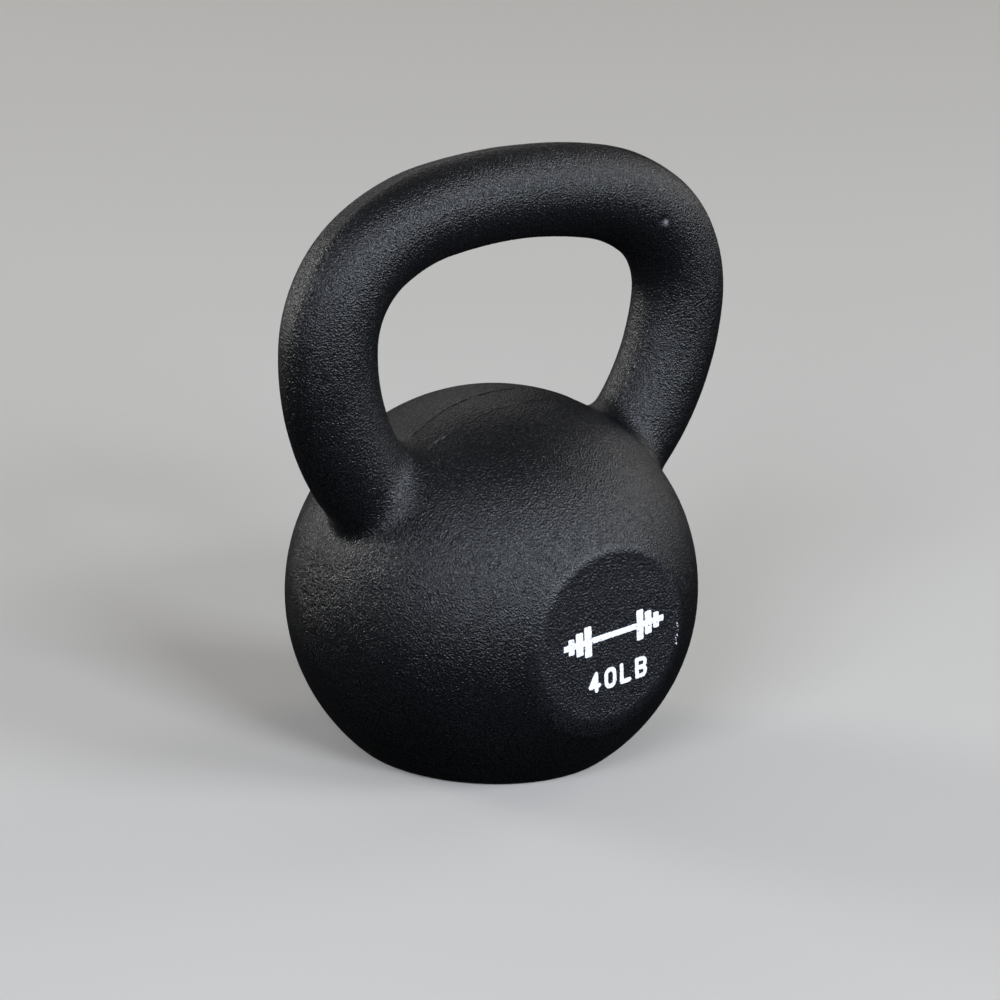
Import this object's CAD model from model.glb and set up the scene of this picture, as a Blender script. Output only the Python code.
import math

import bpy
import numpy as np
from mathutils import Matrix, Vector


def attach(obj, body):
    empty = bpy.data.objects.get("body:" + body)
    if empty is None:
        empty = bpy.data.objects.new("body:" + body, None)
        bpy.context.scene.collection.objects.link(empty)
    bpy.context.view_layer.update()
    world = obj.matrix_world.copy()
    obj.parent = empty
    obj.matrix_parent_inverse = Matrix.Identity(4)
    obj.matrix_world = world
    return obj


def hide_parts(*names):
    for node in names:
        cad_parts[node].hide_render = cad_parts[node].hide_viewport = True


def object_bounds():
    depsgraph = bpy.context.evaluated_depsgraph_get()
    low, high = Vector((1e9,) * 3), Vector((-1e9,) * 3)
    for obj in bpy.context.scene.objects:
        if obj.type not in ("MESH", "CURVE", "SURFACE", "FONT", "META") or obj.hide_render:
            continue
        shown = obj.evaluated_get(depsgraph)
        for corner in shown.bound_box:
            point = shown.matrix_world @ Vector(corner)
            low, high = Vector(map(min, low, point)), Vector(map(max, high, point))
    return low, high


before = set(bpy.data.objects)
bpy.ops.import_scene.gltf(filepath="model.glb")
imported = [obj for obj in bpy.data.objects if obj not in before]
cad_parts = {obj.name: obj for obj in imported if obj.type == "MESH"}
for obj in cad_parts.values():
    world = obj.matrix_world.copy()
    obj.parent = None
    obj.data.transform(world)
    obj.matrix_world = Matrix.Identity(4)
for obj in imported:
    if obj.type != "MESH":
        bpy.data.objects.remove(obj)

# A cast-iron kettlebell: a ball with a flat base and a printed flat in front, and an arched handle.
# X runs from horn to horn, -Y is the printed front and +Z is up. The origin is the middle of the base.
# Shapes are worked out in millimetres, and lay_mesh turns them to metres.

MM = 0.001
CAD_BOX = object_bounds()


# ---------------------------------------------------------------- camera

CAMERA_AZIMUTH = -39.95
CAMERA_ELEVATION = 17.45
CAMERA_ROLL = 3.71
CAMERA_DISTANCE = 1.4584
CAMERA_LENS = 133.4
CAMERA_CLIP_END = 50
CAMERA_TARGET = Vector((0.0013, 0.0, 0.0999))


def look_from(azimuth, elevation, roll):
    """Axes of a camera or lamp that looks at the middle from an azimuth and elevation. Back is
    (sin a cos e, -cos a cos e, sin e), and right and up are square to it, turned about it by the roll."""
    a, e, r = (math.radians(angle) for angle in (azimuth, elevation, roll))
    back = Vector((math.sin(a) * math.cos(e), -math.cos(a) * math.cos(e), math.sin(e)))
    right = Vector((math.cos(a), math.sin(a), 0))
    up = back.cross(right)
    turned_right = right * math.cos(r) + up * math.sin(r)
    turned_up = up * math.cos(r) - right * math.sin(r)
    return turned_right, turned_up, back


def stand(thing, axes, position):
    """Puts an object's X, Y and Z axes along three directions, at a position."""
    thing.matrix_world = Matrix.Translation(position) @ Matrix(axes).transposed().to_4x4()


def add_camera():
    """A long lens, turned slightly about its axis."""
    camera = bpy.data.objects.new("camera", bpy.data.cameras.new("camera"))
    bpy.context.scene.collection.objects.link(camera)
    camera.data.lens = CAMERA_LENS
    camera.data.clip_end = CAMERA_CLIP_END
    axes = look_from(CAMERA_AZIMUTH, CAMERA_ELEVATION, CAMERA_ROLL)
    stand(camera, axes, CAMERA_TARGET + axes[2] * CAMERA_DISTANCE)
    bpy.context.scene.camera = camera


# ---------------------------------------------------------------- sizes of the casting, in millimetres

BALL_HALF = (83.0, 80.1, 81.2)
BALL_CENTRE_Z = 63.6
FLAT_DISTANCE = 72.7
FLAT_TILT = math.radians(1.9)
FLAT_EDGE_BLEND = 0.6
BASE_EDGE_BLEND = 0.9

HANDLE_TOP_Z = 224.4
ARC_RADII = (216.6, 78.6, 42.7, 91.1)
ARC_TURNS = (10.2, 23.3, 58.2, 62.0)
HALF_HEIGHTS = (18.3, 18.5, 18.8, 19.3, 19.8)
DEPTH_RATIO = 0.90
SPLIT_ARC = 2

ROOT_BLEND_SHARP = 4.0
ROOT_BLEND_SOFT = 9.5
ROOT_SHARP_Z = 94.0
ROOT_SOFT_Z = 116.0
OVERLAP = 0.8
HALVINGS = 34
UPHILL_STEP = 0.25

# The ground band along the outside of the handle, where the parting flash was taken off by hand.
# Stations along the handle, the band's tilt from straight outwards towards the front, and its half width.
BAND_STATIONS = (-130, -112, -103, -92, -77, -57, -40, 0, 40, 70, 90, 115)
BAND_TILTS = (-14, -18, -9, -5, -8, -12, -17, -15, -15, -13, -10, -14)
BAND_HALF_WIDTHS = (2, 10, 15, 15, 14, 14, 13, 13, 13, 13, 12, 4)
BAND_EDGE_BLEND = 0.35


def handle_arcs():
    """The right-hand side's four tangent arcs. Each starts where the last one ends, and its circle's
    centre is its radius inwards from there."""
    arcs = []
    x, z, heading, station = 0.0, HANDLE_TOP_Z, 0.0, 0.0
    for index, (radius, turn) in enumerate(zip(ARC_RADII, ARC_TURNS)):
        centre_x = x - radius * math.sin(heading)
        centre_z = z - radius * math.cos(heading)
        last = heading + math.radians(turn)
        arcs.append({
            "centre": (centre_x, centre_z), "radius": radius, "first": heading, "last": last,
            "start": station, "halves": HALF_HEIGHTS[index:index + 2],
        })
        x = centre_x + radius * math.sin(last)
        z = centre_z + radius * math.cos(last)
        station += radius * (last - heading)
        heading = last
    return arcs


ARCS = handle_arcs()
SPLIT_STATION = ARCS[SPLIT_ARC]["start"]
HORN_END_STATION = ARCS[-1]["start"] + ARC_RADII[-1] * math.radians(ARC_TURNS[-1])


# ---------------------------------------------------------------- shape of the casting

def ease(value, low, high):
    """0 below low, 1 above high, and a smooth S between."""
    t = np.clip((value - low) / (high - low), 0, 1)
    return t * t * (3 - 2 * t)


def between(value, places, amounts):
    """Amounts given at places, with a smooth S from each to the next."""
    step = np.clip(np.searchsorted(places, value) - 1, 0, len(places) - 2)
    places, amounts = np.asarray(places, float), np.asarray(amounts, float)
    t = ease(value, places[step], places[step + 1])
    return amounts[step] * (1 - t) + amounts[step + 1] * t


def bell(value, width):
    """1 at zero, falling to 1/e at the width: e to the power of minus (value over width) squared."""
    return np.exp(-(value / width) ** 2)


def away_from(x, y, z, spot):
    """Distance from a spot."""
    return np.sqrt((x - spot[0]) ** 2 + (y - spot[1]) ** 2 + (z - spot[2]) ** 2)


def soft_min(a, b, blend):
    """The smaller of two distances, less a parabola of (blend - difference) where they are close."""
    h = np.maximum(blend - np.abs(a - b), 0) / blend
    return np.minimum(a, b) - h * h * blend / 4


def soft_max(a, b, blend):
    """The larger of two distances, plus the same parabola."""
    return -soft_min(-a, -b, blend)


def ball_gap(x, y, z):
    """Distance from the ball: an ellipsoid's scaled radius less one, over that radius's slope, cut by
    a flat in front, a flat behind and the base."""
    ex, ey, ez = x / BALL_HALF[0], y / BALL_HALF[1], (z - BALL_CENTRE_Z) / BALL_HALF[2]
    scaled = np.sqrt(ex * ex + ey * ey + ez * ez) + 1e-9
    slope = np.sqrt((ex / BALL_HALF[0]) ** 2 + (ey / BALL_HALF[1]) ** 2 + (ez / BALL_HALF[2]) ** 2) / scaled
    gap = (scaled - 1) / slope
    rise = (z - BALL_CENTRE_Z) * math.sin(FLAT_TILT) - FLAT_DISTANCE
    for side in (-1, 1):
        gap = soft_max(gap, side * y * math.cos(FLAT_TILT) + rise, FLAT_EDGE_BLEND)
    return soft_max(gap, -z, BASE_EDGE_BLEND)


def handle_place(x, y, z):
    """Where a point is by the handle: its station along the centreline, its distance outwards and along
    from the nearest point of the nearest arc, and the section's half height there."""
    across = np.abs(x)
    nearest = np.full(np.shape(x), 1e9)
    station, outwards, along, half = (np.zeros(np.shape(x)) for _ in range(4))
    for arc in ARCS:
        dx, dz = across - arc["centre"][0], z - arc["centre"][1]
        heading = np.clip(np.arctan2(dx, dz), arc["first"], arc["last"])
        sine, cosine = np.sin(heading), np.cos(heading)
        out = dx * sine + dz * cosine - arc["radius"]
        down = dx * cosine - dz * sine
        distance = out * out + down * down
        t = (heading - arc["first"]) / (arc["last"] - arc["first"])
        nearer = distance < nearest
        nearest = np.where(nearer, distance, nearest)
        station = np.where(nearer, arc["start"] + arc["radius"] * (heading - arc["first"]), station)
        outwards = np.where(nearer, out, outwards)
        along = np.where(nearer, down, along)
        half = np.where(nearer, arc["halves"][0] * (1 - t) + arc["halves"][1] * t, half)
    return np.copysign(station, x), outwards, along, half


def handle_gap(x, y, z):
    """Distance from the handle: its elliptical section's scaled radius less one, over its slope, cut by
    the ground band, which is a plane across the section at the band's tilt."""
    station, outwards, along, half = handle_place(x, y, z)
    depth = half * DEPTH_RATIO
    scaled = np.sqrt((outwards / half) ** 2 + (y / depth) ** 2 + (along / half) ** 2) + 1e-9
    slope = np.sqrt((outwards / half ** 2) ** 2 + (y / depth ** 2) ** 2 + (along / half ** 2) ** 2) / scaled
    gap = (scaled - 1) / (slope + 1e-9)
    tilt = np.radians(between(station, BAND_STATIONS, BAND_TILTS))
    width = np.radians(between(station, BAND_STATIONS, BAND_HALF_WIDTHS))
    reach = np.hypot(half * np.cos(tilt), depth * np.sin(tilt))
    band = outwards * np.cos(tilt) - y * np.sin(tilt) - reach + half * (1 - np.cos(width))
    return soft_max(gap, band, BAND_EDGE_BLEND)


def root_blend(z):
    """The fillet between horn and ball, tight under the horn's outside and wide at its front and inside."""
    return ROOT_BLEND_SHARP + (ROOT_BLEND_SOFT - ROOT_BLEND_SHARP) * ease(z, ROOT_SHARP_Z, ROOT_SOFT_Z)


def casting_gap(x, y, z):
    """Distance from the whole casting: ball and handle, joined by the root fillet."""
    return soft_min(ball_gap(x, y, z), handle_gap(x, y, z), root_blend(z))


def ball_side_gap(x, y, z):
    """The casting as the ball carries it: its half of the fillet, and a little over under the horns."""
    ball = ball_gap(x, y, z)
    return soft_min(ball, np.maximum(handle_gap(x, y, z), ball - OVERLAP), root_blend(z))


def handle_side_gap(x, y, z):
    """The casting as the handle carries it: its half of the fillet, and a little over inside the ball."""
    handle = handle_gap(x, y, z)
    return soft_min(np.maximum(ball_gap(x, y, z), handle - OVERLAP), handle, root_blend(z))


def cast_out(start, direction, reach, gap):
    """The point on each ray where the gap turns from inside to outside, found by halving the reach, which
    is the nearest and furthest that it can be."""
    low = np.full(direction.shape[:-1], float(reach[0]))
    high = np.full(direction.shape[:-1], float(reach[1]))
    for _ in range(HALVINGS):
        middle = (low + high) / 2
        point = start + direction * middle[..., None]
        inside = gap(point[..., 0], point[..., 1], point[..., 2]) < 0
        low = np.where(inside, middle, low)
        high = np.where(inside, high, middle)
    return start + direction * ((low + high) / 2)[..., None]


# ---------------------------------------------------------------- relief: what sand, pour and grinding leave

LATTICE = 32
CHANCE = np.random.default_rng(40).random((LATTICE, LATTICE, LATTICE)) * 2 - 1

# Waves of the sand mould as (length in mm, height in mm).
WAVES = ((26.0, 0.13), (9.0, 0.030), (4.2, 0.012))


def lumps(x, y, z, size, shift=0.0):
    """Smooth noise from -1 to 1: chance values on a cubic lattice, blended by an S curve along each axis."""
    cell, part = [], []
    for value in (x, y, z):
        scaled = value / size + shift
        floor = np.floor(scaled)
        t = scaled - floor
        cell.append(floor.astype(int))
        part.append(t * t * t * (t * (6 * t - 15) + 10))
    total = 0.0
    for dx in (0, 1):
        for dy in (0, 1):
            for dz in (0, 1):
                weight = 1.0
                for step, t in zip((dx, dy, dz), part):
                    weight = weight * (t if step else 1 - t)
                total = total + weight * CHANCE[
                    (cell[0] + dx) % LATTICE, (cell[1] + dy) % LATTICE, (cell[2] + dz) % LATTICE]
    return total


def on_handle(station, turn):
    """The point of the handle's skin at a station, turned from straight outwards towards the front."""
    side = math.copysign(1, station)
    arc = [a for a in ARCS if a["start"] <= abs(station)][-1]
    heading = arc["first"] + (abs(station) - arc["start"]) / arc["radius"]
    t = (heading - arc["first"]) / (arc["last"] - arc["first"])
    half = arc["halves"][0] * (1 - t) + arc["halves"][1] * t
    out = half * math.cos(math.radians(turn)) + arc["radius"]
    return (
        side * (arc["centre"][0] + out * math.sin(heading)),
        -half * DEPTH_RATIO * math.sin(math.radians(turn)),
        arc["centre"][1] + out * math.cos(heading),
    )


# Pinholes and dents as (spot, radius, depth). Gas left them in the skin, and the coat rounded them.
PINHOLES = (
    (on_handle(-47, 79), 0.8, 0.45),
    (on_handle(-48, 84), 0.6, 0.35),
    (on_handle(-87, 88), 0.8, 0.45),
    (on_handle(-96, 61), 0.6, 0.35),
    (on_handle(-103, 83), 0.6, 0.35),
    (on_handle(64.5, 95), 1.5, 0.6),
    ((-70, -37, 85), 1.0, 0.5),
    ((-77, -11, 92), 1.0, 0.5),
    ((-75.5, 4, 95), 0.8, 0.4),
)
# The pitted patch: its middle, the radii at which it starts to fade and is gone, and its depth. Its
# relief is broad pits and smaller lumps, each a size and a shift of the noise.
ROUGH_PATCH = (-81, 9, 78)
ROUGH_PATCH_RADII = (7.6, 19.0)
ROUGH_PATCH_HEIGHT = 0.48
PIT_NOISE = (2.6, 5.0)
PIT_RIM = 0.1
LUMP_NOISE = (1.9, 7.0)
LUMP_SHARE = 0.3
# Where the cast skin is coarse enough to show through the coat: the spot, the distances at which it
# starts to fade and is gone, and its height against the coat's own grain.
GRITTY = ((ROUGH_PATCH, 8, 26, 1.9), ((-75, -20, 95), 5, 17, 1.5), ((-62, 20, 118), 4, 14, 0.8))

# The parting flash over the ball's crown was ground off too. The strip between its two edges is a
# little low, and a fine broken crack runs along each edge, deep in one stretch and faint before it.
# At its left end each crack has a lifted chip. Each edge is its place in y, the x where the chip, the
# faint stretch and the deep stretch start, and the x where it ends.
CROWN_EDGES = ((1.5, -47, -41, -24, 27), (-12.0, -46, -38, 0, 42))
EDGE_WANDER = ((13.0, 0.9), (3.2, 0.55), (1.3, 0.25))
CROWN_Z = 125.0
CROWN_TOP_Z = 150.0
CROWN_FADE = 4.0
STRIP_DEPTH = 0.18
STRIP_SIDE = 0.35
STRIP_FADE = (34, 46)
STRIP_GRIT = 0.8
STRIP_GRIT_SIDE = 2.0
STRIP_GRIT_FADE = (36, 48)
CRACK_WIDTH = 0.34
CRACK_DEPTH = 0.34
CRACK_NOISE = (2.6, 9.0)
CRACK_BREAKS = (-0.45, 0.05)
FAINT = 0.22
# The millimetres along a crack over which it starts, turns from faint to deep on each side, and ends, and
# over which a chip starts and ends.
CRACK_START = 3
CRACK_DEEPEN = 2
CRACK_END = 8
CHIP_END = 1
CHIP_HEIGHT = 0.2
CHIP_SHIFT = 0.3
CHIP_WIDTH = 0.5
BARE_WIDTH = 0.28
BARE_SHARE = 0.7
BARE_NOISE = (1.4, 3.0)
BARE_BREAKS = (-0.1, 0.3)
# A crease beside the left-hand horn, and a scuff through to bare iron by the nick in the handle.
CREASE = ((-57, -42, 104), (-52, -44, 109))
CREASE_DEPTH = 0.2
CREASE_WIDTH = 0.8
SCUFF = on_handle(66, 97)
SCUFF_RADIUS = math.sqrt(0.8)
# The heights between which the relief grows from nothing at the ground base.
BASE_FADE = (0.2, 4.0)


def crown_edge(x, edge_y):
    """An edge of the ground strip, as the hand that ground it wandered."""
    line = edge_y
    for size, width in EDGE_WANDER:
        line = line + width * lumps(x, edge_y, 0 * x, size)
    return line


def on_crown(z):
    """1 on the ball's crown and 0 below it and on the handle above it."""
    return ease(z, CROWN_Z, CROWN_Z + CROWN_FADE) * (1 - ease(z, CROWN_TOP_Z, CROWN_TOP_Z + CROWN_FADE))


def chip_stretch(x, z, start, end):
    """1 along a chip, which runs from one x to another on the crown, and 0 past its ends."""
    return ease(x, start, start + CHIP_END) * (1 - ease(x, end - CHIP_END, end)) * on_crown(z)


def chipped(x, y, z):
    """How far the coat is knocked off: the chips at the cracks' left ends, and a scuff on the handle."""
    bare = bell(away_from(x, y, z, SCUFF), SCUFF_RADIUS)
    ragged = BARE_SHARE * ease(lumps(x, y, z, *BARE_NOISE), *BARE_BREAKS)
    for edge_y, start, faint, _, _ in CROWN_EDGES:
        across = y - crown_edge(x, edge_y) - CHIP_SHIFT
        bare = bare + chip_stretch(x, z, start, faint) * ragged * bell(across, BARE_WIDTH)
    return np.clip(bare, 0, 1)


def gritty(x, y, z):
    """How coarse the cast skin is: 0 where the coat hides it, and more at the patches and the strip."""
    far, near = (crown_edge(x, edge[0]) for edge in CROWN_EDGES)
    strip = ease(y, near - STRIP_GRIT_SIDE, near) * (1 - ease(y, far, far + STRIP_GRIT_SIDE)) * on_crown(z)
    coarse = STRIP_GRIT * strip * (1 - ease(np.abs(x), *STRIP_GRIT_FADE))
    for spot, inner, outer, height in GRITTY:
        coarse = coarse + height * (1 - ease(away_from(x, y, z, spot), inner, outer))
    return coarse


def near_segment(x, y, z, start, end):
    """Distance from the stretch between two points."""
    start, end = np.array(start, float), np.array(end, float)
    run = end - start
    away = np.stack([x, y, z], -1) - start
    t = np.clip((away @ run) / (run @ run), 0, 1)
    return np.linalg.norm(away - t[..., None] * run, axis=-1)


def crown_relief(x, y, z):
    """The low strip, less a crack along each of its edges, plus the chips at the cracks' left ends."""
    crown = on_crown(z)
    far, near = (crown_edge(x, edge[0]) for edge in CROWN_EDGES)
    inside = ease(y, near - STRIP_SIDE, near + STRIP_SIDE) * (1 - ease(y, far - STRIP_SIDE, far + STRIP_SIDE))
    rise = -STRIP_DEPTH * inside * crown * (1 - ease(np.abs(x), *STRIP_FADE))
    broken = ease(lumps(x, 0 * x, y, *CRACK_NOISE), *CRACK_BREAKS)
    for edge_y, start, faint, deep, end in CROWN_EDGES:
        across = y - crown_edge(x, edge_y)
        reach = FAINT + (1 - FAINT) * ease(x, deep - CRACK_DEEPEN, deep + CRACK_DEEPEN)
        reach = reach * ease(x, faint, faint + CRACK_START) * (1 - ease(x, end - CRACK_END, end))
        reach = reach * crown * broken
        rise = rise - CRACK_DEPTH * reach * bell(across, CRACK_WIDTH)
        lift = chip_stretch(x, z, start, faint)
        rise = rise + CHIP_HEIGHT * lift * bell(across - CHIP_SHIFT, CHIP_WIDTH)
    return rise


def relief(x, y, z):
    """How far the skin stands out from the plain shape: the mould's waves, less the pinholes, the pitted
    patch, the crown's marks and a crease. It fades out at the base, which is ground flat."""
    rise = 0.0
    for length, height in WAVES:
        rise = rise + height * lumps(x, y, z, length, length)
    for spot, radius, depth in PINHOLES:
        rise = rise - depth * bell(away_from(x, y, z, spot), radius)
    pitted = np.minimum(lumps(x, y, z, *PIT_NOISE) + PIT_RIM, 0) + LUMP_SHARE * lumps(x, y, z, *LUMP_NOISE)
    within = 1 - ease(away_from(x, y, z, ROUGH_PATCH), *ROUGH_PATCH_RADII)
    rise = rise + ROUGH_PATCH_HEIGHT * pitted * within
    rise = rise + crown_relief(x, y, z)
    rise = rise - CREASE_DEPTH * bell(near_segment(x, y, z, *CREASE), CREASE_WIDTH)
    return rise * ease(z, *BASE_FADE)


def skin_gap(x, y, z):
    """Distance from the finished skin."""
    return casting_gap(x, y, z) - relief(x, y, z)


def uphill(points, gap):
    """The unit direction in which a gap grows fastest, from its change across a small step each way."""
    columns = []
    for axis in range(3):
        offset = np.zeros(3)
        offset[axis] = UPHILL_STEP
        ahead, behind = points + offset, points - offset
        columns.append(gap(*np.moveaxis(ahead, -1, 0)) - gap(*np.moveaxis(behind, -1, 0)))
    slope = np.stack(columns, -1)
    return slope / (np.linalg.norm(slope, axis=-1, keepdims=True) + 1e-12)


# ---------------------------------------------------------------- laying a mesh

def lay_mesh(name, points, faces, normals, material):
    """Makes a piece from points and normals (in millimetres, one row each) and a list of face arrays.
    If the shell's signed volume comes out negative, its faces are turned round so they point outwards."""
    first = faces[0]
    a, b, c = (points[first[:, corner]] - points.mean(0) for corner in range(3))
    if np.einsum("ij,ij->i", a, np.cross(b, c)).sum() < 0:
        faces = [group[:, ::-1] for group in faces]
    sizes = np.concatenate([np.full(len(group), group.shape[1]) for group in faces])
    corners = np.concatenate([group.ravel() for group in faces])
    mesh = bpy.data.meshes.new(name)
    mesh.vertices.add(len(points))
    mesh.vertices.foreach_set("co", (points * MM).astype(np.float32).ravel())
    mesh.loops.add(len(corners))
    mesh.loops.foreach_set("vertex_index", corners.astype(np.int32))
    mesh.polygons.add(len(sizes))
    mesh.polygons.foreach_set("loop_start", (np.cumsum(sizes) - sizes).astype(np.int32))
    mesh.update(calc_edges=True)
    mesh.polygons.foreach_set("use_smooth", np.ones(len(sizes), bool))
    mesh.validate()
    mesh.normals_split_custom_set_from_vertices(normals.astype(np.float32))
    mesh.materials.append(material)
    piece = bpy.data.objects.new(name, mesh)
    bpy.context.scene.collection.objects.link(piece)
    return piece


def tube_faces(rows, columns):
    """Squares between neighbouring rows of a closed ring of columns, and triangles from the first and
    last rows to a pole each. The poles are the last two points."""
    row, column = np.meshgrid(np.arange(rows - 1), np.arange(columns), indexing="ij")
    after = (column + 1) % columns
    squares = np.stack([
        row * columns + column, row * columns + after,
        (row + 1) * columns + after, (row + 1) * columns + column,
    ], -1).reshape(-1, 4)
    ring = np.arange(columns)
    ring_after = (ring + 1) % columns
    first_pole = np.full(columns, rows * columns)
    last_row = (rows - 1) * columns
    start = np.stack([ring_after, ring, first_pole], -1)
    end = np.stack([last_row + ring, last_row + ring_after, first_pole + 1], -1)
    return [squares, np.concatenate([start, end])]


def lay_tube(name, grid, start_pole, end_pole, material):
    """A piece of the casting from a grid of points on its plain shape. Each point moves out along the
    shape's uphill direction by the relief, and its normal is the finished skin's uphill direction."""
    outward = uphill(grid, casting_gap)
    grid = grid + outward * relief(*np.moveaxis(grid, -1, 0))[..., None]
    normals = uphill(grid, skin_gap)
    rows, columns = grid.shape[:2]
    points = np.concatenate([grid.reshape(-1, 3), [start_pole, end_pole]])
    pole_normals = [grid[0].mean(0) - grid.mean((0, 1)), grid[-1].mean(0) - grid.mean((0, 1))]
    pole_normals = [n / np.linalg.norm(n) for n in pole_normals]
    normals = np.concatenate([normals.reshape(-1, 3), pole_normals])
    piece = lay_mesh(name, points, tube_faces(rows, columns), normals, material)
    for attribute, field in (("chipped", chipped), ("gritty", gritty)):
        layer = piece.data.attributes.new(attribute, "FLOAT", "POINT")
        layer.data.foreach_set("value", field(*points.T).astype(np.float32))
    return piece


# ---------------------------------------------------------------- pieces of the casting

BALL_COLUMNS = 336
BALL_ROWS = 290
HANDLE_COLUMNS = 128
HANDLE_STEP = 0.85
BALL_REACH = (20, 130)
HANDLE_REACH = (0, 34)
POLE_OPENING = 0.02
DENSITY_SAMPLES = 20001

# Where the ball's grid is finer, as (spread in radians, weight): the rims of the front and back flats,
# the crown's edges, and the pitted patch across and along. The crown is the last.
FRONT_RIM = (0.04, 1.0)
BACK_RIM = (0.04, 0.6)
EDGE_ROWS = (0.022, 5.0)
PATCH_ROWS = (0.15, 0.5)
PATCH_COLUMNS = (0.25, 1.3)
CROWN_COLUMNS = (0.45, 0.9)


def packed_rows(count, start, end, crowded):
    """Row places from start to end, closer together where crowded: each (middle, (spread, weight)) adds
    a bell to the rows' density, and rows fall at equal shares of its running total."""
    fine = np.linspace(start, end, DENSITY_SAMPLES)
    density = np.ones(len(fine))
    for middle, (spread, weight) in crowded:
        density = density + weight * bell(fine - middle, spread)
    total = np.concatenate([[0], np.cumsum((density[1:] + density[:-1]) / 2)])
    return np.interp(np.linspace(0, total[-1], count), total, fine)


def make_ball(material):
    """Rays from the ball's centre on a grid of latitude and longitude with its poles at the two flats."""
    flat_rim = math.acos(FLAT_DISTANCE / BALL_HALF[1])
    rows = [(flat_rim, FRONT_RIM), (math.pi - flat_rim, BACK_RIM)]
    rows += [(math.acos(-edge[0] / BALL_HALF[2]), EDGE_ROWS) for edge in CROWN_EDGES]
    rows.append((math.acos(-ROUGH_PATCH[1] / BALL_HALF[1]), PATCH_ROWS))
    latitude = packed_rows(BALL_ROWS, POLE_OPENING, math.pi - POLE_OPENING, rows)[:, None]
    patch_turn = math.atan2(ROUGH_PATCH[2] - BALL_CENTRE_Z, ROUGH_PATCH[0])
    columns = [(patch_turn, PATCH_COLUMNS), (math.pi / 2, CROWN_COLUMNS)]
    longitude = packed_rows(BALL_COLUMNS + 1, 0, 2 * math.pi, columns)[None, :-1]
    direction = np.stack(np.broadcast_arrays(
        np.sin(latitude) * np.cos(longitude), -np.cos(latitude), np.sin(latitude) * np.sin(longitude)), -1)
    centre = np.array([0, 0, BALL_CENTRE_Z])
    grid = cast_out(centre, direction, BALL_REACH, ball_side_gap)
    return lay_tube("ball_casting", grid, grid[0].mean(0), grid[-1].mean(0), material)


def make_handle_piece(name, first, last, material):
    """Rays from the handle's centreline, square to it, on a grid of stations and turns."""
    rows = int(abs(last - first) / HANDLE_STEP) + 1
    station = np.linspace(first, last, rows)
    distance = np.abs(station)
    starts = np.array([arc["start"] for arc in ARCS])
    index = np.clip(np.searchsorted(starts, distance, side="right") - 1, 0, len(ARCS) - 1)
    radius = np.array(ARC_RADII)[index]
    heading = np.array([arc["first"] for arc in ARCS])[index] + (distance - starts[index]) / radius
    centres = np.array([arc["centre"] for arc in ARCS])[index]
    side = np.where(station < 0, -1.0, 1.0)
    zero = np.zeros(rows)
    outwards = np.stack([side * np.sin(heading), zero, np.cos(heading)], -1)
    middle = np.stack([side * centres[:, 0], zero, centres[:, 1]], -1) + outwards * radius[:, None]
    turn = np.linspace(0, 2 * math.pi, HANDLE_COLUMNS, endpoint=False)
    front = np.array([0, -1.0, 0])
    direction = outwards[:, None] * np.cos(turn)[None, :, None] + front * np.sin(turn)[None, :, None]
    start = np.broadcast_to(middle[:, None], direction.shape)
    grid = cast_out(start, direction, HANDLE_REACH, handle_side_gap)
    return lay_tube(name, grid, middle[0], middle[-1], material)


# ---------------------------------------------------------------- printed marks

PRINT_TURN = math.radians(5.5)
EMBLEM_CENTRE = (1.5, 1.0)
WEIGHT_CENTRE = (4.5, -16.2)
EMBLEM_BAR = (50.0, 2.4)
PLATES = ((13.0, 3.4, 12.4), (17.2, 3.4, 9.4), (21.2, 2.8, 6.4))
PLATE_CORNER = 0.6
GLYPH_HEIGHT = 8.6
GLYPH_WIDTH = 6.0
GLYPH_PITCH = 7.8
PEN_WIDTH = 1.8
INK_CELL = 0.2
INK_TOP = 0.12
INK_FOOT = -0.10
SLOPE_STEP = 0.02
SLOPE_FLOOR = 0.3
RIM_CELLS = 0.75
# How far the ink's edge wanders, as (size of the noise, width), and the smallest and largest radius of
# its pinholes.
INK_RAGGED = ((0.9, 0.10), (0.45, 0.06))
INK_HOLE_RADII = (0.16, 0.34)
# Each mark's random seed, and how many pinholes fall within what width and height.
EMBLEM_WEAR = (11, 46, 60, 26)
WEIGHT_WEAR = (23, 16, 36, 40)

# White specks beside the emblem, where the screen touched the skin: how many, the middle and half
# spread of their places on the flat, and their smallest and largest radius.
SPECK_COUNT = 15
SPECK_MIDDLE = (33.8, -4.6)
SPECK_SPREAD = (0.7, 4.4)
SPECK_RADII = (0.06, 0.22)
SPECK_SQUASH = 0.6
SPECK_SEED = 5


def plate(x, y, centre_x, width, height, corner=0.0):
    """Distance from a rounded rectangle centred on y = 0: the distance from the rectangle shrunk by its
    corner's radius, less that radius."""
    dx = np.abs(x - centre_x) - width / 2 + corner
    dy = np.abs(y) - height / 2 + corner
    outside = np.hypot(np.maximum(dx, 0), np.maximum(dy, 0))
    return outside + np.minimum(np.maximum(dx, dy), 0) - corner


def stroke(x, y, start, end):
    """Distance from a straight stretch between two points."""
    run_x, run_y = end[0] - start[0], end[1] - start[1]
    t = ((x - start[0]) * run_x + (y - start[1]) * run_y) / (run_x ** 2 + run_y ** 2)
    t = np.clip(t, 0, 1)
    return np.hypot(x - start[0] - t * run_x, y - start[1] - t * run_y)


def barbell(x, y):
    """A bar with three plates on each side."""
    gap = plate(x, y, 0, *EMBLEM_BAR)
    for distance, width, height in PLATES:
        for side in (-1, 1):
            gap = np.minimum(gap, plate(x, y, side * distance, width, height, PLATE_CORNER))
    return gap


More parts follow.
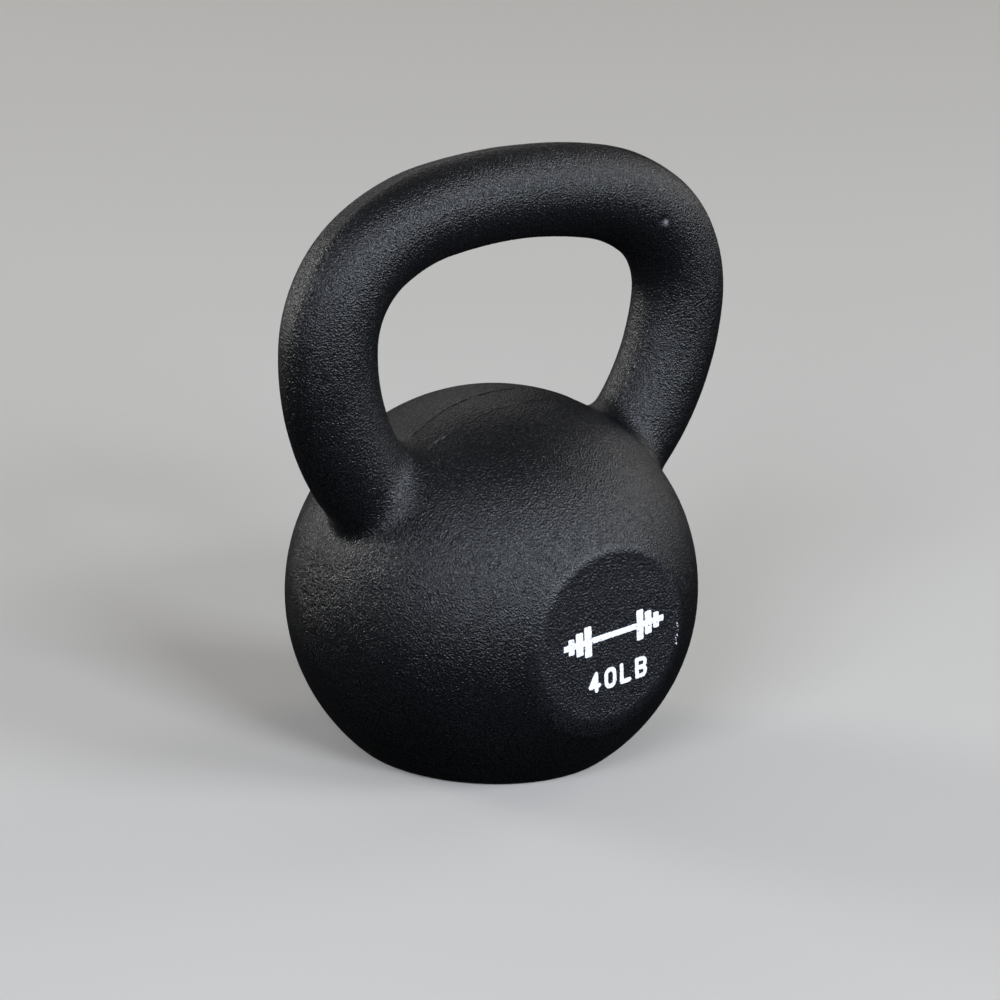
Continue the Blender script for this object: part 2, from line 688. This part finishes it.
def weight_figures(x, y):
    """40 LB drawn with one pen: the nearest of all its strokes, less half the pen."""
    w, h = GLYPH_WIDTH - PEN_WIDTH, GLYPH_HEIGHT - PEN_WIDTH
    left = [(place - 1.5) * GLYPH_PITCH - w / 2 for place in range(4)]
    y = y + h / 2
    four, nought, ell, bee = (x - edge for edge in left)
    bar, upright = 0.28 * h, 0.68 * w
    lines = [
        stroke(four, y, (w, bar), (0, bar)),
        stroke(four, y, (0, bar), (upright, h)),
        stroke(four, y, (upright, h), (upright, 0)),
        np.abs(stroke(nought, y, (w / 2, w / 2), (w / 2, h - w / 2)) - w / 2),
        stroke(ell, y, (0, h), (0, 0)),
        stroke(ell, y, (0, 0), (0.95 * w, 0)),
        stroke(bee, y, (0, 0), (0, h)),
    ]
    for low in (0, h / 2):
        bowl = np.abs(stroke(bee, y, (-w, low + h / 4), (w - h / 4, low + h / 4)) - h / 4)
        lines.append(np.where(bee > 0, bowl, PEN_WIDTH))
    nearest = lines[0]
    for line in lines[1:]:
        nearest = np.minimum(nearest, line)
    return nearest - PEN_WIDTH / 2


def worn(gap, x, y, seed, holes, width, height):
    """A printed outline, worn: its gap plus a little noise, and cut by pinholes where the ink missed the
    skin's hollows, each its radius less the distance from its middle."""
    ragged = gap
    for size, wander in INK_RAGGED:
        ragged = ragged + wander * lumps(x, y, 0 * x, size, seed)
    chance = np.random.default_rng(seed)
    for _ in range(holes):
        hole_x = chance.uniform(-width / 2, width / 2)
        hole_y = chance.uniform(-height / 2, height / 2)
        radius = chance.uniform(*INK_HOLE_RADII)
        ragged = np.maximum(ragged, radius - np.hypot(x - hole_x, y - hole_y))
    return ragged


def turned(x, y, centre):
    """Coordinates in a mark's own directions, about its centre."""
    dx, dy = x - centre[0], y - centre[1]
    cosine, sine = math.cos(PRINT_TURN), math.sin(PRINT_TURN)
    return dx * cosine + dy * sine, dy * cosine - dx * sine


def emblem_ink(x, y):
    """The emblem's outline on the flat, and the specks beside it."""
    ink = worn(barbell(*turned(x, y, EMBLEM_CENTRE)), x, y, *EMBLEM_WEAR)
    chance = np.random.default_rng(SPECK_SEED)
    for _ in range(SPECK_COUNT):
        speck_x = SPECK_MIDDLE[0] + SPECK_SPREAD[0] * chance.uniform(-1, 1)
        speck_y = SPECK_MIDDLE[1] + SPECK_SPREAD[1] * chance.uniform(-1, 1)
        away = np.hypot(x - speck_x, (y - speck_y) * SPECK_SQUASH)
        ink = np.minimum(ink, away - chance.uniform(*SPECK_RADII))
    return ink


def weight_ink(x, y):
    """The weight's outline on the flat."""
    return worn(weight_figures(*turned(x, y, WEIGHT_CENTRE)), x, y, *WEIGHT_WEAR)


def onto_flat(x, y, rise):
    """A point of the front flat, raised along its outward direction by the relief and a little more."""
    up = np.array([0, math.sin(FLAT_TILT), math.cos(FLAT_TILT)])
    out = np.array([0, -math.cos(FLAT_TILT), math.sin(FLAT_TILT)])
    base = np.array([0, 0, BALL_CENTRE_Z]) + out * FLAT_DISTANCE
    points = base + x[:, None] * np.array([1.0, 0, 0]) + y[:, None] * up
    height = relief(*points.T) + rise
    return points + out * height[:, None]


def inked_grid(ink, x_range, y_range):
    """A grid of corners, and which of its cells are inked. A corner on the rim, with inked cells on some
    of its sides only, is moved onto the outline: down its slope by the gap over the slope, three times."""
    nx = int((x_range[1] - x_range[0]) / INK_CELL)
    ny = int((y_range[1] - y_range[0]) / INK_CELL)
    corner_x = x_range[0] + INK_CELL * np.arange(nx + 1)
    corner_y = y_range[0] + INK_CELL * np.arange(ny + 1)
    grid_x, grid_y = np.meshgrid(corner_x, corner_y, indexing="ij")
    inked = ink(grid_x[:-1, :-1] + INK_CELL / 2, grid_y[:-1, :-1] + INK_CELL / 2) < 0
    padded = np.pad(inked, 1).astype(int)
    around = sum(padded[i:i + nx + 1, j:j + ny + 1] for i in (0, 1) for j in (0, 1))
    for _ in range(3):
        value = ink(grid_x, grid_y)
        slope_x = ink(grid_x + SLOPE_STEP, grid_y) - ink(grid_x - SLOPE_STEP, grid_y)
        slope_y = ink(grid_x, grid_y + SLOPE_STEP) - ink(grid_x, grid_y - SLOPE_STEP)
        slope_x, slope_y = slope_x / (2 * SLOPE_STEP), slope_y / (2 * SLOPE_STEP)
        steep = np.maximum(slope_x ** 2 + slope_y ** 2, SLOPE_FLOOR)
        rim = (around > 0) & (around < 4) & (np.abs(value) < RIM_CELLS * INK_CELL)
        grid_x = grid_x - np.where(rim, value * slope_x / steep, 0)
        grid_y = grid_y - np.where(rim, value * slope_y / steep, 0)
    return grid_x, grid_y, inked


def film_faces(inked):
    """The faces of a closed film over the inked cells, and the corners that it uses: a top, a foot the
    other way up, and a wall wherever an inked cell has a bare one beside it."""
    nx, ny = inked.shape
    number = np.arange((nx + 1) * (ny + 1)).reshape(nx + 1, ny + 1)
    low_low, high_low = number[:-1, :-1], number[1:, :-1]
    low_high, high_high = number[:-1, 1:], number[1:, 1:]
    top = np.stack([low_low, high_low, high_high, low_high], -1)[inked]
    padded = np.pad(inked, 1)
    sides = []
    for shift, start, end in (((0, -1), low_low, high_low), ((1, 0), high_low, high_high),
                              ((0, 1), high_high, low_high), ((-1, 0), low_high, low_low)):
        beside = padded[1 + shift[0]:1 + shift[0] + nx, 1 + shift[1]:1 + shift[1] + ny]
        bare = inked & ~beside
        sides.append(np.stack([start[bare], end[bare]], -1))
    sides = np.concatenate(sides)
    used, renumbered = np.unique(top, return_inverse=True)
    lookup = np.zeros(number.size, int)
    lookup[used] = np.arange(len(used))
    top = renumbered.reshape(top.shape)
    foot = top[:, ::-1] + len(used)
    start, end = lookup[sides[:, 0]], lookup[sides[:, 1]]
    walls = np.stack([end, start, start + len(used), end + len(used)], -1)
    return np.concatenate([top, foot, walls]), used


def make_mark(name, ink, x_range, y_range, material):
    """A film of ink on the front flat, with its top a little proud of the skin and its foot just under."""
    grid_x, grid_y, inked = inked_grid(ink, x_range, y_range)
    faces, used = film_faces(inked)
    x, y = grid_x.ravel()[used], grid_y.ravel()[used]
    points = np.concatenate([onto_flat(x, y, INK_TOP), onto_flat(x, y, INK_FOOT)])
    normals = uphill(points, skin_gap)
    return lay_mesh(name, points, [faces], normals, material)


# ---------------------------------------------------------------- materials

# Patterns' real sizes in millimetres, from one lump to the next. The coat's real grain is about 1 mm,
# too fine to show, so it is drawn at 1.3 mm on the round skin and a little more on the flats. The ink
# fills the grain's finest hollows, so what shows through it is coarser. Grit is the cast skin's own.
ROUND_GRAIN = 1.3
FLAT_GRAIN = 1.456
INK_GRAIN = 1.7333
GRIT = 2.8
CLOUDS = 82.727
LUMP_CELLS = 1.82
# Heights of the coat's and the ink's grain, in metres.
GRAIN_DEPTH = 0.00052
INK_GRAIN_DEPTH = 0.0003
# Depths from the middle, in metres, between which the round skin's coat turns to the flats' coat.
FLAT_COAT = (0.0700, 0.0720)


def linear(hex_colour):
    """An sRGB hex colour as linear red, green, blue and alpha."""
    channels = [int(hex_colour[i:i + 2], 16) / 255 for i in (1, 3, 5)]
    return [c / 12.92 if c <= 0.04045 else ((c + 0.055) / 1.055) ** 2.4 for c in channels] + [1.0]


def add_node(tree, kind, settings=None, links=None):
    """Adds a node, sets its properties and sockets, and links other nodes' outputs into its sockets."""
    node = tree.nodes.new(kind)
    for name, value in (settings or {}).items():
        if isinstance(name, int) or name in node.inputs:
            node.inputs[name].default_value = value
        else:
            setattr(node, name, value)
    for name, source in (links or {}).items():
        tree.links.new(source, node.inputs[name])
    return node


def cells_per_metre(size):
    """The noise scale that puts lumps a real size apart, in millimetres: the cells from one lump to the
    next, over the size in metres."""
    return LUMP_CELLS / (size * MM)


def new_material(name):
    """An empty material and its node tree."""
    material = bpy.data.materials.new(name)
    material.use_nodes = True
    material.node_tree.nodes.clear()
    return material, material.node_tree


def powder_coated_iron():
    """Cast iron under a textured black powder coat. The melted powder shrinks into fine grain, so the
    eye gets a charcoal that breaks every highlight into sparks, with dark hollows between the grains.
    It is a little lighter and coarser on the flats, where the coat pools. Chips show bare grey iron."""
    material, tree = new_material("powder_coated_iron")
    place = add_node(tree, "ShaderNodeTexCoord").outputs["Object"]
    round_grain = add_node(tree, "ShaderNodeTexNoise", {
        "Scale": cells_per_metre(ROUND_GRAIN), "Detail": 0.9, "Roughness": 0.5}, {"Vector": place})
    flat_grain = add_node(tree, "ShaderNodeTexNoise", {
        "Scale": cells_per_metre(FLAT_GRAIN), "Detail": 0.9, "Roughness": 0.5}, {"Vector": place})
    cloud = add_node(tree, "ShaderNodeTexNoise", {
        "Scale": cells_per_metre(CLOUDS), "Detail": 3.0, "Roughness": 0.5}, {"Vector": place})
    sides = add_node(tree, "ShaderNodeSeparateXYZ", links={"Vector": place})
    depth = add_node(tree, "ShaderNodeMath", {"operation": "ABSOLUTE"}, {0: sides.outputs["Y"]})
    on_flat = add_node(tree, "ShaderNodeMapRange", {
        "From Min": FLAT_COAT[0], "From Max": FLAT_COAT[1]}, {"Value": depth.outputs["Value"]})
    tone = add_node(tree, "ShaderNodeValToRGB", links={"Fac": cloud.outputs["Fac"]})
    thin, thick = tone.color_ramp.elements
    thin.position, thin.color = 0.35, linear("#0e0f11")
    thick.position, thick.color = 0.65, linear("#141518")
    pooled = add_node(tree, "ShaderNodeMix", {"data_type": "RGBA", 7: linear("#202126")}, {
        0: on_flat.outputs["Result"], 6: tone.outputs["Color"]})
    peaks = add_node(tree, "ShaderNodeMapRange", {
        "From Min": 0.4, "From Max": 0.62}, {"Value": round_grain.outputs["Fac"]})
    grained = add_node(tree, "ShaderNodeMix", {"data_type": "RGBA", 6: linear("#040405")}, {
        0: peaks.outputs["Result"], 7: pooled.outputs[2]})
    chips = add_node(tree, "ShaderNodeAttribute", {"attribute_name": "chipped"})
    colour = add_node(tree, "ShaderNodeMix", {"data_type": "RGBA", 7: linear("#7d7f84")}, {
        0: chips.outputs["Fac"], 6: grained.outputs[2]})
    dull = add_node(tree, "ShaderNodeMapRange", {
        "From Min": 0.35, "From Max": 0.65, "To Min": 0.40, "To Max": 0.25}, {
        "Value": round_grain.outputs["Fac"]})
    grain = add_node(tree, "ShaderNodeMix", {"data_type": "FLOAT"}, {
        0: on_flat.outputs["Result"], 2: round_grain.outputs["Fac"], 3: flat_grain.outputs["Fac"]})
    cast_skin = add_node(tree, "ShaderNodeAttribute", {"attribute_name": "gritty"})
    grit = add_node(tree, "ShaderNodeTexNoise", {
        "Scale": cells_per_metre(GRIT), "Detail": 2.0, "Roughness": 0.6}, {"Vector": place})
    height = add_node(tree, "ShaderNodeMath", {"operation": "MULTIPLY_ADD"}, {
        0: cast_skin.outputs["Fac"], 1: grit.outputs["Fac"], 2: grain.outputs[0]})
    grainy = add_node(tree, "ShaderNodeBump", {"Strength": 1.0, "Distance": GRAIN_DEPTH}, {
        "Height": height.outputs[0]})
    shader = add_node(tree, "ShaderNodeBsdfPrincipled", {
        "IOR": 1.5, "Metallic": 0.0, "Specular IOR Level": 0.5}, {
        "Base Color": colour.outputs[2], "Roughness": dull.outputs["Result"],
        "Normal": grainy.outputs["Normal"]})
    add_node(tree, "ShaderNodeOutputMaterial", links={"Surface": shader.outputs["BSDF"]})
    return material


def screen_print_ink():
    """Matte white screen-print ink, thin enough that the coat's grain shows through it."""
    material, tree = new_material("screen_print_ink")
    place = add_node(tree, "ShaderNodeTexCoord").outputs["Object"]
    grain = add_node(tree, "ShaderNodeTexNoise", {
        "Scale": cells_per_metre(INK_GRAIN), "Detail": 1.5, "Roughness": 0.5}, {"Vector": place})
    tone = add_node(tree, "ShaderNodeValToRGB", links={"Fac": grain.outputs["Fac"]})
    hollow, crest = tone.color_ramp.elements
    hollow.position, hollow.color = 0.30, linear("#b9bcc2")
    crest.position, crest.color = 0.42, linear("#eceef3")
    grainy = add_node(tree, "ShaderNodeBump", {"Strength": 0.6, "Distance": INK_GRAIN_DEPTH}, {
        "Height": grain.outputs["Fac"]})
    shader = add_node(tree, "ShaderNodeBsdfPrincipled", {
        "IOR": 1.48, "Metallic": 0.0, "Roughness": 0.65, "Specular IOR Level": 0.4}, {
        "Base Color": tone.outputs["Color"], "Normal": grainy.outputs["Normal"]})
    add_node(tree, "ShaderNodeOutputMaterial", links={"Surface": shader.outputs["BSDF"]})
    return material


def pale_floor_paint():
    """Plain pale paint, nearly matte."""
    material, tree = new_material("pale_floor_paint")
    shader = add_node(tree, "ShaderNodeBsdfPrincipled", {
        "Base Color": linear("#dad6ce"), "Roughness": 0.8, "Specular IOR Level": 0.2})
    add_node(tree, "ShaderNodeOutputMaterial", links={"Surface": shader.outputs["BSDF"]})
    return material


# ---------------------------------------------------------------- floor and lights

FLOOR_HALF = 40.0
FLOOR_Z = -0.0001

# Soft lights as (name, azimuth, elevation, distance, width, height, watts, colour). Azimuth 0 is in
# front of the kettlebell and 90 is on its right-hand side, towards +X. The ceiling is a wide dim panel
# that gives the floor an even tone up to the horizon of a low view.
LIGHTS = (
    ("key", -4.0, 26.0, 4.4, 1.6, 1.4, 116.0, (0.82, 0.88, 1.0)),
    ("right_front", 40.0, 22.0, 4.4, 1.8, 1.8, 100.0, (0.84, 0.90, 1.0)),
    ("left_front", -60.0, 25.0, 4.4, 1.8, 1.8, 112.0, (0.80, 0.86, 1.0)),
    ("left_rim", -150.0, 12.0, 4.4, 1.8, 1.8, 84.0, (1.0, 0.99, 0.98)),
    ("right_fill", 95.0, 20.0, 4.4, 1.8, 1.8, 28.0, (1.0, 0.99, 0.98)),
    ("back", 160.0, 24.0, 4.4, 3.6, 1.8, 15.0, (1.0, 0.99, 0.98)),
    ("ceiling", 0.0, 90.0, 6.0, 16.0, 16.0, 90.0, (1.0, 0.99, 0.98)),
)
ROOM_LIGHT = 0.01


def add_floor():
    """A flat square, wide enough to fill the view. It isn't seen in the coat's reflections, so its pale
    paint doesn't light the kettlebell's dark underside."""
    corners = [(x * FLOOR_HALF, y * FLOOR_HALF, FLOOR_Z) for x, y in ((-1, -1), (1, -1), (1, 1), (-1, 1))]
    mesh = bpy.data.meshes.new("floor")
    mesh.from_pydata(corners, [], [(0, 1, 2, 3)])
    mesh.materials.append(pale_floor_paint())
    floor = bpy.data.objects.new("floor", mesh)
    bpy.context.scene.collection.objects.link(floor)
    floor.visible_glossy = False


def add_lights():
    """Soft boxes round the kettlebell, each facing its middle, and an even dim room."""
    middle = (CAD_BOX[0] + CAD_BOX[1]) / 2
    for name, azimuth, elevation, distance, width, height, watts, colour in LIGHTS:
        lamp = bpy.data.lights.new(name, "AREA")
        lamp.shape = "RECTANGLE"
        lamp.size, lamp.size_y = width, height
        lamp.energy = watts
        lamp.color = colour
        box = bpy.data.objects.new(name, lamp)
        bpy.context.scene.collection.objects.link(box)
        axes = look_from(azimuth, elevation, 0)
        stand(box, axes, middle + axes[2] * distance)
    world = bpy.data.worlds.new("room")
    bpy.context.scene.world = world
    world.use_nodes = True
    world.node_tree.nodes["Background"].inputs["Color"].default_value = linear("#d6d8dc")
    world.node_tree.nodes["Background"].inputs["Strength"].default_value = ROOM_LIGHT


# ---------------------------------------------------------------- the kettlebell

add_camera()
coat = powder_coated_iron()
ink = screen_print_ink()

ball = make_ball(coat)
grip = make_handle_piece("grip_casting", -SPLIT_STATION, SPLIT_STATION, coat)
horn_right = make_handle_piece("horn_right_casting", SPLIT_STATION, HORN_END_STATION, coat)
horn_left = make_handle_piece("horn_left_casting", -SPLIT_STATION, -HORN_END_STATION, coat)
emblem = make_mark("emblem_print", emblem_ink, (-26, 36), (-12, 14), ink)
weight = make_mark("weight_print", weight_ink, (-12, 22), (-25, -8), ink)

for piece, node in ((ball, "ball"), (grip, "grip"), (horn_right, "horn_right"), (horn_left, "horn_left")):
    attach(piece, "root")
    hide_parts(node)

for piece, node in ((emblem, "emblem"), (weight, "weight_mark")):
    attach(piece, "root")
    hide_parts(node)

add_floor()
add_lights()
bpy.context.scene.view_settings.view_transform = "Standard"
